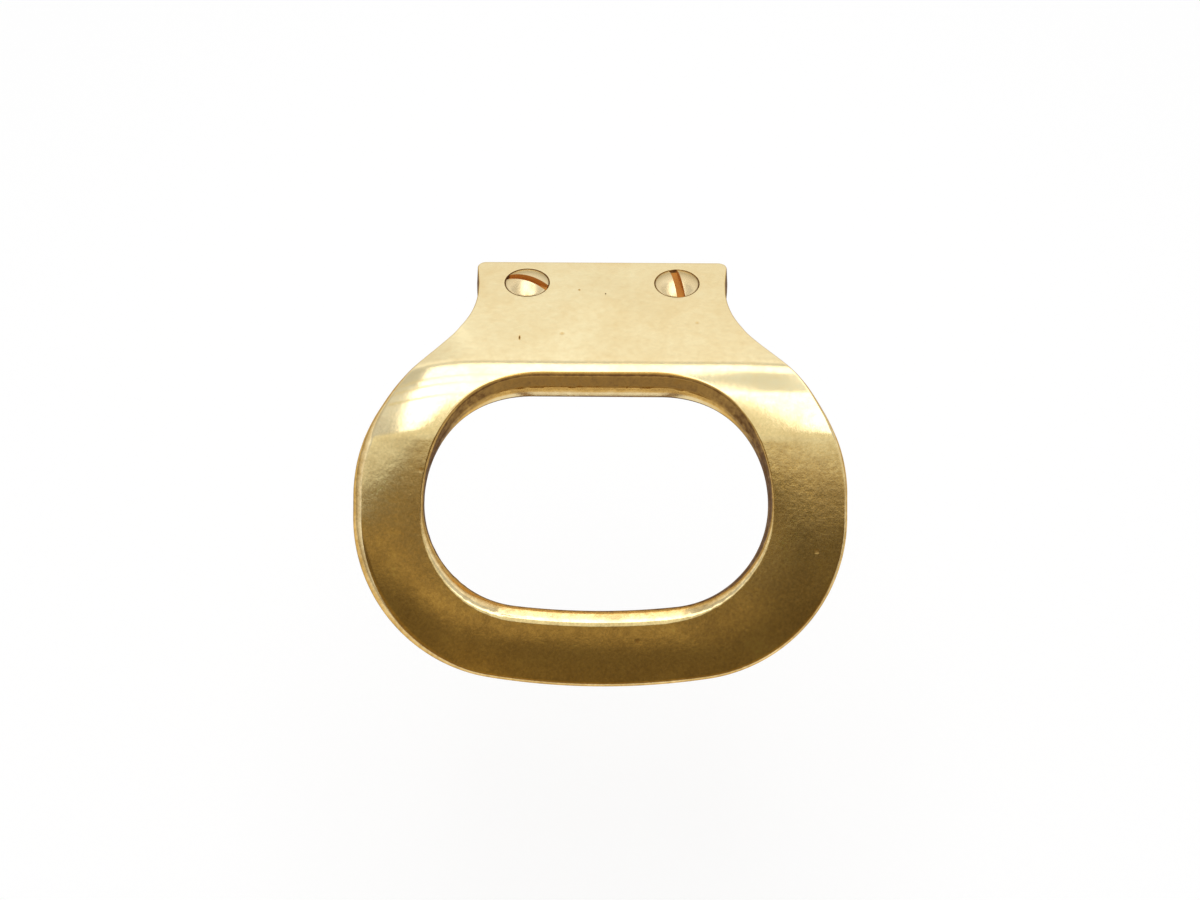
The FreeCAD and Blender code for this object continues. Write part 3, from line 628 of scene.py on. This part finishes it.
for height in np.linspace(plain_end, screws_low.z, int(thread_length / thread_pitch * rows_per_pitch))[1:]:
    above_tip = height - screws_low.z
    taper = min(1, above_tip / point_length)
    run_out = min(1, (plain_end - height) / thread_pitch)
    root = tip_radius * 0.5 + (root_radius - tip_radius * 0.5) * taper
    root = shank_radius + (root - shank_radius) * run_out
    crest = tip_radius + (shank_radius - tip_radius) * taper
    phase = (height / thread_pitch - turns) % 1
    flank = np.clip(1 - np.abs(phase - 0.5) / flank_share, 0, 1)
    screw_profile.append((root + (crest - root) * flank, height))
screw_profile.append((0, screws_low.z))
shape = turned(screw_profile, around_screw)
screw_mesh = bpy.data.meshes.new("screw_blank")
shape.to_mesh(screw_mesh)
shape.free()
screw_mesh.shade_smooth()
# The head's rim gets a little tarnish: partly real, partly painted shade for the dark line where the head
# meets its countersink.
rim_skin_and_shade = screw_mesh.attributes.new("skin_and_shade", "FLOAT", "FACE")
for face, skin_value in zip(screw_mesh.polygons, rim_skin_and_shade.data):
    on_rim = math.hypot(*face.center[:2]) > head_radius - 1.5 * rim_round
    skin_value.value = rim_tarnish_and_shade if on_rim else 0.0
screws = bpy.data.objects.new("wood_screws", screw_mesh)
bpy.context.scene.collection.objects.link(screws)

# The screws' tarnished orange fills their slots: dirt, lifted brighter as painted light in place of the
# light that bounces inside a slot.
screw_brass = brass_material(
    "screw_brass", polished=(0.86, 0.71, 0.43), thin_tarnish=(0.70, 0.45, 0.16),
    tarnished=(0.60, 0.25, 0.04), wheel_lines=0.0, mottle=0.9, dullness=0.24)
screw_pair = bpy.data.node_groups.new("screw_pair", "GeometryNodeTree")
inputs = {}
for socket_name, socket_kind in (
        ("Blank", "NodeSocketGeometry"), ("Slot Size", "NodeSocketVector"), ("Head Top", "NodeSocketVector"),
        ("First Place", "NodeSocketVector"), ("Spacing", "NodeSocketVector"),
        ("Left Turn", "NodeSocketFloat"), ("Right Turn", "NodeSocketFloat"),
        ("Brass", "NodeSocketMaterial")):
    inputs[socket_name] = screw_pair.interface.new_socket(
        socket_name, in_out="INPUT", socket_type=socket_kind).identifier
screw_pair.interface.new_socket("Screws", in_out="OUTPUT", socket_type="NodeSocketGeometry")
given = screw_pair.nodes.new("NodeGroupInput").outputs
slot_block = add_node(screw_pair, "GeometryNodeMeshCube", {"Size": given["Slot Size"]})
# The slot's faces take the tarnished colour: dirt, and painted light that brightens it.
slot_dirt_and_light = add_node(screw_pair, "GeometryNodeStoreNamedAttribute", {
    "Geometry": slot_block.outputs["Mesh"], "Name": "skin_and_shade", "Value": 1.0},
    data_type="FLOAT", domain="FACE")
slot_cutter = add_node(screw_pair, "GeometryNodeTransform", {
    "Geometry": slot_dirt_and_light.outputs[0], "Translation": given["Head Top"]})
slotted = add_node(screw_pair, "GeometryNodeMeshBoolean", {
    "Mesh 1": given["Blank"], "Mesh 2": slot_cutter.outputs[0]}, operation="DIFFERENCE", solver="EXACT")
places = add_node(screw_pair, "GeometryNodeMeshLine", {
    "Count": 2, "Start Location": given["First Place"], "Offset": given["Spacing"]})
which = screw_pair.nodes.new("GeometryNodeInputIndex").outputs[0]
slot_turn = add_node(screw_pair, "GeometryNodeSwitch", {
    "Switch": which, "False": given["Left Turn"], "True": given["Right Turn"]}, input_type="FLOAT")
turn_about_axis = add_node(screw_pair, "ShaderNodeCombineXYZ", {"Z": slot_turn.outputs[0]})
set_in = add_node(screw_pair, "GeometryNodeInstanceOnPoints", {
    "Points": places.outputs[0], "Instance": slotted.outputs[0], "Rotation": turn_about_axis.outputs[0]})
both = add_node(screw_pair, "GeometryNodeRealizeInstances", {"Geometry": set_in.outputs[0]})
finished = add_node(screw_pair, "GeometryNodeSetMaterial", {
    "Geometry": both.outputs[0], "Material": given["Brass"]})
add_node(screw_pair, "NodeGroupOutput", {"Screws": finished.outputs[0]})

setting = screws.modifiers.new("screw_pair", "NODES")
setting.node_group = screw_pair
for socket_name, size in (
        ("Slot Size", (4 * head_radius, slot_width, 2 * slot_depth)),
        ("Head Top", (0, 0, head_top)),
        ("First Place", (-half_spacing, 0, 0)),
        ("Spacing", (2 * half_spacing, 0, 0)),
        ("Left Turn", math.radians(-22)),
        ("Right Turn", math.radians(-79)),
        ("Brass", screw_brass)):
    setting[inputs[socket_name]] = size
made_plain(screws, "wood_screws")
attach(screws, "root")
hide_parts("fixing_screws")

# The studio: a plain pale floor well below the pull, and a white surround that polished metal shows as well.
floor_drop = 0.06
floor_level = casting_low.z - floor_drop
floor_half = 3.0
floor_white_share = 0.6
floor_glow_level = 1.1
floor_mesh = bpy.data.meshes.new("floor")
floor_mesh.from_pydata(
    [(x * floor_half, y * floor_half, floor_level) for x, y in ((-1, -1), (1, -1), (1, 1), (-1, 1))],
    [], [(0, 1, 2, 3)])
floor = bpy.data.objects.new("floor", floor_mesh)
bpy.context.scene.collection.objects.link(floor)
floor_paint = bpy.data.materials.new("pale_floor")
floor_paint.use_nodes = True
floor_tree = floor_paint.node_tree
floor_tree.nodes.clear()
floor_light = add_node(floor_tree, "ShaderNodeLightPath", {})
floor_seen = add_node(floor_tree, "ShaderNodeMath", {
    0: floor_light.outputs["Is Camera Ray"], 1: floor_light.outputs["Is Glossy Ray"]}, operation="MAXIMUM")
floor_white = add_node(floor_tree, "ShaderNodeMath", {
    0: floor_seen.outputs[0], 1: floor_white_share}, operation="MULTIPLY")
floor_matt = add_node(floor_tree, "ShaderNodeBsdfDiffuse", {"Color": (0.9, 0.9, 0.9, 1)})
floor_glow = add_node(floor_tree, "ShaderNodeEmission", {
    "Color": (1, 1, 1, 1), "Strength": floor_glow_level})
floor_mix = add_node(floor_tree, "ShaderNodeMixShader", {
    0: floor_white.outputs[0], 1: floor_matt.outputs[0], 2: floor_glow.outputs[0]})
add_node(floor_tree, "ShaderNodeOutputMaterial", {"Surface": floor_mix.outputs[0]})
floor_mesh.materials.append(floor_paint)

wall_strength = 1.2
fill_level = 0.75
world = bpy.data.worlds.new("studio")
bpy.context.scene.world = world
world.use_nodes = True
surround = world.node_tree
ray = add_node(surround, "ShaderNodeLightPath", {})
direction = add_node(surround, "ShaderNodeTexCoord", {})
upward = add_node(surround, "ShaderNodeSeparateXYZ", {"Vector": direction.outputs["Generated"]})
wall_glow = add_node(surround, "ShaderNodeFloatCurve", {"Value": upward.outputs["Z"]})
glow_curve = wall_glow.mapping.curves[0]
for height, level in (
        (0.45, 0.75), (0.60, 0.80), (0.625, 0.83), (0.64, 0.97), (0.68, 0.97), (0.70, 0.6), (0.75, 0.55)):
    glow_curve.points.new(height, level)
glow_curve.points[0].location = (0, 0.33)
glow_curve.points[-1].location = (1, 0.78)
wall_glow.mapping.update()
wall_level = add_node(surround, "ShaderNodeMath", {
    0: wall_glow.outputs[0], 1: wall_strength}, operation="MULTIPLY")
in_metal = add_node(surround, "ShaderNodeMix", {
    0: ray.outputs["Is Glossy Ray"], 2: fill_level, 3: wall_level.outputs[0]}, data_type="FLOAT")
seen = add_node(surround, "ShaderNodeMath", {
    0: ray.outputs["Is Camera Ray"], 1: ray.outputs["Is Transmission Ray"]}, operation="MAXIMUM")
white_level = add_node(surround, "ShaderNodeMix", {
    0: seen.outputs[0], 2: in_metal.outputs[0], 3: 1.0}, data_type="FLOAT")
surround.nodes["Background"].inputs["Color"].default_value = (1, 1, 1, 1)
surround.links.new(white_level.outputs[0], surround.nodes["Background"].inputs["Strength"])

# One large softbox hangs over the pull and gives the white band along the bend.
lamp_height = 0.45
lamp_back = 0.38
lamp_front = -0.346
lamp_width = 0.27
lamp_level = 1.65
lamp = bpy.data.lights.new("softbox", "AREA")
lamp.shape = "RECTANGLE"
lamp.size = lamp_width
lamp.size_y = lamp_back - lamp_front
lamp.energy = lamp_level * math.pi * lamp.size * lamp.size_y
softbox = bpy.data.objects.new("softbox", lamp)
softbox.location = (0, (lamp_back + lamp_front) / 2, lamp_height)
softbox.visible_camera = False
bpy.context.scene.collection.objects.link(softbox)

# Flags under it break up its reflection: a patch on the right, thin bars on the left and a bow in front.
flag_level = 0.41
for flag_name, flag_shade, flag_outlines in (
        ("patch_flag", (0.87, 0.91, 0.94), (
            ((0.012, 0.150), (0.040, 0.030), (0.086, 0.045), (0.086, 0.235), (0.040, 0.250)),)),
        ("bar_flags", (0.78, 0.70, 0.52), (
            ((-0.20, 0.150), (0.0, 0.185), (0.0, 0.188), (-0.20, 0.172)),
            ((-0.20, 0.075), (-0.02, 0.105), (-0.02, 0.107), (-0.20, 0.100)),
            ((-0.20, -0.03), (-0.03, 0.000), (-0.03, 0.002), (-0.20, 0.000)))),
        ("front_flag", (0.88, 0.82, 0.63), (
            ((-0.25, -0.38), (0.25, -0.38), (0.25, -0.335), (0.085, -0.31), (0.070, -0.25), (0.054, -0.14),
             (0.03, 0.0), (-0.03, 0.0), (-0.050, -0.10), (-0.068, -0.24), (-0.085, -0.30),
             (-0.25, -0.33)),))):
    flag_points = []
    flag_faces = []
    for flag_outline in flag_outlines:
        flag_faces.append(range(len(flag_points), len(flag_points) + len(flag_outline)))
        flag_points += [(*corner, flag_level) for corner in flag_outline]
    flag_mesh = bpy.data.meshes.new(flag_name)
    flag_mesh.from_pydata(flag_points, [], flag_faces)
    flag_paint = bpy.data.materials.new(flag_name)
    flag_paint.use_nodes = True
    flag_tree = flag_paint.node_tree
    flag_tree.nodes.clear()
    flag_light = add_node(flag_tree, "ShaderNodeEmission", {"Color": (*flag_shade, 1), "Strength": 1})
    add_node(flag_tree, "ShaderNodeOutputMaterial", {"Surface": flag_light.outputs[0]})
    flag_mesh.materials.append(flag_paint)
    flag = bpy.data.objects.new(flag_name, flag_mesh)
    bpy.context.scene.collection.objects.link(flag)
    flag.visible_camera = False
    flag.visible_diffuse = False

# A warm dark card curves up in front, behind the camera, and gives the ring's face its brown shade.
card_radius = 0.55
card_half = 0.5
card_middle = -0.033
card_turns = np.radians(np.concatenate((np.linspace(36, 56, 61), np.linspace(58, 100, 15))))
card_shades = np.array((
    (36.0, 0.84, 0.80, 0.68), (45.0, 0.82, 0.77, 0.60), (45.8, 0.52, 0.385, 0.155),
    (46.6, 0.27, 0.175, 0.054), (47.4, 0.16, 0.105, 0.032), (48.3, 0.14, 0.090, 0.027),
    (50.5, 0.12, 0.078, 0.025), (54.0, 0.12, 0.075, 0.022), (66.0, 0.24, 0.14, 0.030),
    (100.0, 0.26, 0.16, 0.06)))
card_levels = (44.6, 45.0, 45.3, 45.8, 46.6, 47.6, 48.6, 49.4, 50.2, 51.5, 53.0)
left_levels = (0.92, 0.66, 0.42, 0.40, 0.50, 1.6, 2.2, 3.0, 3.0, 2.0, 1.0)
left_inner_levels = (0.95, 0.95, 1.1, 1.2, 1.1, 1.0, 1.1, 2.0, 4.0, 4.0, 1.6)
middle_levels = (1.0, 1.0, 1.0, 1.0, 1.0, 1.2, 1.5, 2.0, 2.6, 3.8, 1.0)
right_inner_levels = (1.0, 1.1, 1.3, 1.5, 2.2, 0.1, 0.1, 0.4, 1.2, 1.2, 1.0)
right_levels = (1.0, 0.92, 0.95, 1.2, 2.2, 0.6, 0.3, 0.8, 1.3, 1.2, 1.0)
card_columns = (
    (-card_half, left_levels), (-0.085, left_levels), (-0.062, left_inner_levels), (-0.035, middle_levels),
    (0.020, middle_levels), (0.062, right_inner_levels), (0.085, right_levels), (card_half, right_levels))
card_points = []
card_glow = []
for card_turn in card_turns:
    turn_degrees = math.degrees(card_turn)
    shade = np.array([
        np.interp(turn_degrees, card_shades[:, 0], card_shades[:, part]) for part in (1, 2, 3)])
    for side, levels in card_columns:
        card_points.append((
            side, card_middle - card_radius * math.sin(card_turn), card_radius * math.cos(card_turn)))
        card_glow.append((*(shade * np.interp(turn_degrees, card_levels, levels)), 1))
columns = len(card_columns)
card_faces = [
    (start + step, start + step + 1, start + step + columns + 1, start + step + columns)
    for start in range(0, len(card_points) - columns, columns) for step in range(columns - 1)]
card_mesh = bpy.data.meshes.new("front_card")
card_mesh.from_pydata(card_points, [], card_faces)
glow = card_mesh.color_attributes.new("glow", "FLOAT_COLOR", "POINT")
glow.data.foreach_set("color", np.array(card_glow, dtype=np.float32).ravel())
card_paint = bpy.data.materials.new("front_card")
card_paint.use_nodes = True
card_tree = card_paint.node_tree
card_tree.nodes.clear()
card_colour = add_node(card_tree, "ShaderNodeAttribute", {}, attribute_name="glow")
card_light = add_node(card_tree, "ShaderNodeEmission", {
    "Color": card_colour.outputs["Color"], "Strength": 1})
add_node(card_tree, "ShaderNodeOutputMaterial", {"Surface": card_light.outputs[0]})
card_mesh.materials.append(card_paint)
card = bpy.data.objects.new("front_card", card_mesh)
bpy.context.scene.collection.objects.link(card)
card.visible_camera = False
card.visible_diffuse = False
card.visible_shadow = False

# The camera stands in front of the ring and looks down on the flange.
photo_width = 1200
focal_pixels = 2939
camera_distance = 0.45
camera_height = math.radians(41.5)
camera_turn = math.radians(0.55)
aim = Vector((0, -0.0335, -0.0025))
camera_data = bpy.data.cameras.new("camera")
camera_data.sensor_width = 36
camera_data.lens = camera_data.sensor_width * focal_pixels / photo_width
camera_data.clip_start = 0.01
camera = bpy.data.objects.new("camera", camera_data)
bpy.context.scene.collection.objects.link(camera)
towards = Vector((
    math.sin(camera_turn) * math.cos(camera_height), -math.cos(camera_turn) * math.cos(camera_height),
    math.sin(camera_height)))
camera.location = aim + towards * camera_distance
camera.rotation_euler = (-towards).to_track_quat("-Z", "Y").to_euler()
bpy.context.scene.camera = camera
bpy.context.scene.view_settings.view_transform = "Standard"
